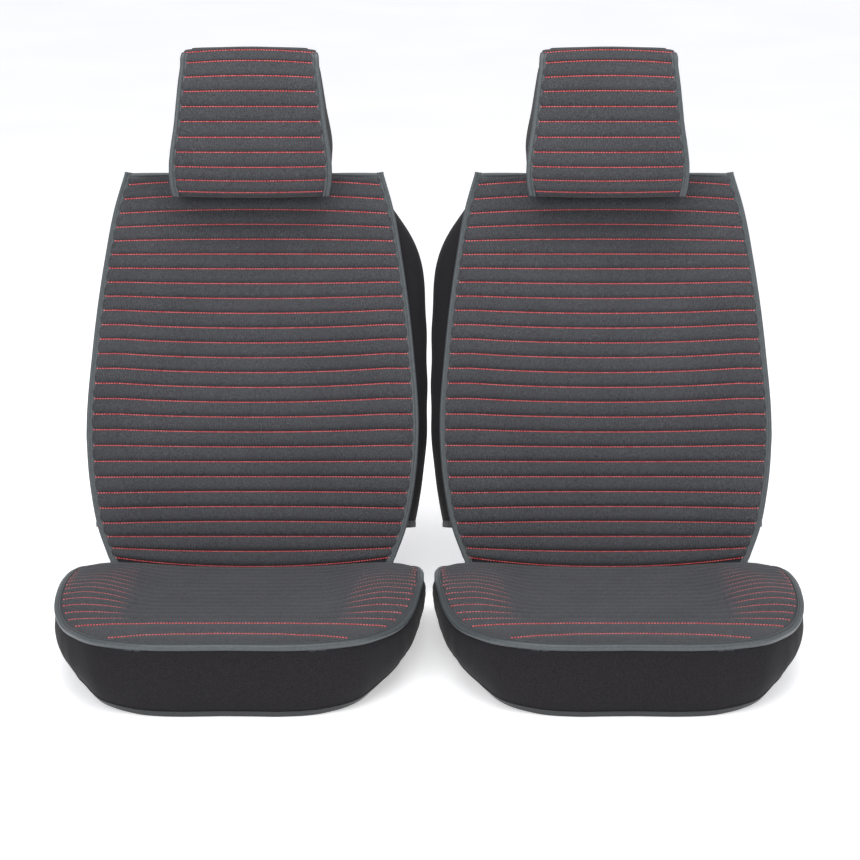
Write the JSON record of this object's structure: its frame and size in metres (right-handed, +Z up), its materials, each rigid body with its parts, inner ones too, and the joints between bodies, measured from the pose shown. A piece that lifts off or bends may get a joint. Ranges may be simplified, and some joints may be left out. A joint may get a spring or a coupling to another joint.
{
  "type": "seat cover set",
  "caption": "Pair of front car seat covers with channel-quilted faces, bound edges, stretch skirts and sides, headrest hoods, under-seat buckles and hooks.",
  "frame": {"origin": "midway between the two covers, under the middle of their depth, level with the lowest edge of the skirts", "axes": "+X across the pair towards the right cover, -Y the way a sitter faces, +Z up"},
  "size_m": [1.1392, 0.824, 0.8771],
  "materials": {
    "quilted_fabric": "fine woven charcoal polyester over foam, channel-quilted with red thread",
    "leatherette": "grained mid-grey leatherette binding, semi-matte",
    "stretch_jersey": "fine near-black stretch jersey",
    "plain_fabric": "plain grey woven fabric",
    "elastic": "ribbed black elastic band",
    "webbing": "black woven webbing",
    "grip_rubber": "matte anti-slip mesh",
    "closure_tape": "black hook-and-loop tape",
    "black_plastic": "fine-textured black acetal"
  },
  "bodies": {
    "left_cushion_cover": {"left_cushion_pad": "quilted_fabric", "left_cushion_binding": "leatherette", "left_cushion_grip_liner": "grip_rubber", "left_cushion_skirt": "stretch_jersey", "left_cushion_hem": "elastic", "left_cushion_rear_flap": "plain_fabric", "left_cushion_front_straps": "webbing", "left_cushion_buckle_sockets": "black_plastic", "left_cushion_hook_tabs": "webbing"},
    "left_plug_inner": {"left_cushion_plug_inner": "black_plastic", "left_cushion_rear_strap_inner": "webbing"},
    "left_hook_inner": {"left_cushion_hook_inner": "black_plastic"},
    "left_plug_outer": {"left_cushion_plug_outer": "black_plastic", "left_cushion_rear_strap_outer": "webbing"},
    "left_hook_outer": {"left_cushion_hook_outer": "black_plastic"},
    "left_back_cover": {"left_back_pad": "quilted_fabric", "left_back_binding": "leatherette", "left_back_gusset_inner": "stretch_jersey", "left_back_gusset_outer": "stretch_jersey", "left_back_top_panel": "stretch_jersey", "left_back_rear_panel": "stretch_jersey", "left_back_hem": "elastic", "left_back_pocket": "stretch_jersey", "left_back_pocket_binding": "elastic", "left_back_tuck_flap": "plain_fabric", "left_back_closure_tape": "closure_tape"},
    "left_headrest_hood": {"left_headrest_pad": "quilted_fabric", "left_headrest_binding": "leatherette", "left_headrest_back": "stretch_jersey", "left_headrest_hem": "elastic"},
    "right_cushion_cover": {"right_cushion_pad": "quilted_fabric", "right_cushion_binding": "leatherette", "right_cushion_grip_liner": "grip_rubber", "right_cushion_skirt": "stretch_jersey", "right_cushion_hem": "elastic", "right_cushion_rear_flap": "plain_fabric", "right_cushion_front_straps": "webbing", "right_cushion_buckle_sockets": "black_plastic", "right_cushion_hook_tabs": "webbing"},
    "right_plug_inner": {"right_cushion_plug_inner": "black_plastic", "right_cushion_rear_strap_inner": "webbing"},
    "right_hook_inner": {"right_cushion_hook_inner": "black_plastic"},
    "right_plug_outer": {"right_cushion_plug_outer": "black_plastic", "right_cushion_rear_strap_outer": "webbing"},
    "right_hook_outer": {"right_cushion_hook_outer": "black_plastic"},
    "right_back_cover": {"right_back_pad": "quilted_fabric", "right_back_binding": "leatherette", "right_back_gusset_inner": "stretch_jersey", "right_back_gusset_outer": "stretch_jersey", "right_back_top_panel": "stretch_jersey", "right_back_rear_panel": "stretch_jersey", "right_back_hem": "elastic", "right_back_pocket": "stretch_jersey", "right_back_pocket_binding": "elastic", "right_back_tuck_flap": "plain_fabric", "right_back_closure_tape": "closure_tape"},
    "right_headrest_hood": {"right_headrest_pad": "quilted_fabric", "right_headrest_binding": "leatherette", "right_headrest_back": "stretch_jersey", "right_headrest_hem": "elastic"}
  },
  "joints": [
    {"name": "left_recline", "type": "hinge", "parent": "left_cushion_cover", "child": "left_back_cover", "pos_m": [-0.288, 0.091, 0.06], "axis": [1, 0, 0], "range_deg": [-35, 25]},
    {"name": "left_headrest_lift", "type": "slide", "parent": "left_back_cover", "child": "left_headrest_hood", "axis": [0, 0.1478, 0.989], "range_m": [0, 0.08]},
    {"name": "left_plug_inner_slide", "type": "slide", "parent": "left_cushion_cover", "child": "left_plug_inner", "axis": [0, 1, 0], "range_m": [0, 0.028]},
    {"name": "left_hook_inner_swing", "type": "hinge", "parent": "left_cushion_cover", "child": "left_hook_inner", "pos_m": [-0.04, 0.023, 0.03], "axis": [0, 1, 0], "range_deg": [-60, 60]},
    {"name": "left_plug_outer_slide", "type": "slide", "parent": "left_cushion_cover", "child": "left_plug_outer", "axis": [0, 1, 0], "range_m": [0, 0.028]},
    {"name": "left_hook_outer_swing", "type": "hinge", "parent": "left_cushion_cover", "child": "left_hook_outer", "pos_m": [-0.536, 0.023, 0.03], "axis": [0, 1, 0], "range_deg": [-60, 60]},
    {"name": "right_cover_slide", "type": "slide", "parent": "left_cushion_cover", "child": "right_cushion_cover", "axis": [0, 1, 0], "range_m": [-0.12, 0.12]},
    {"name": "right_recline", "type": "hinge", "parent": "right_cushion_cover", "child": "right_back_cover", "pos_m": [0.288, 0.091, 0.06], "axis": [1, 0, 0], "range_deg": [-35, 25]},
    {"name": "right_headrest_lift", "type": "slide", "parent": "right_back_cover", "child": "right_headrest_hood", "axis": [0, 0.1478, 0.989], "range_m": [0, 0.08]},
    {"name": "right_plug_inner_slide", "type": "slide", "parent": "right_cushion_cover", "child": "right_plug_inner", "axis": [0, 1, 0], "range_m": [0, 0.028]},
    {"name": "right_hook_inner_swing", "type": "hinge", "parent": "right_cushion_cover", "child": "right_hook_inner", "pos_m": [0.04, 0.023, 0.03], "axis": [0, 1, 0], "range_deg": [-60, 60]},
    {"name": "right_plug_outer_slide", "type": "slide", "parent": "right_cushion_cover", "child": "right_plug_outer", "axis": [0, 1, 0], "range_m": [0, 0.028]},
    {"name": "right_hook_outer_swing", "type": "hinge", "parent": "right_cushion_cover", "child": "right_hook_outer", "pos_m": [0.536, 0.023, 0.03], "axis": [0, 1, 0], "range_deg": [-60, 60]}
  ]
}
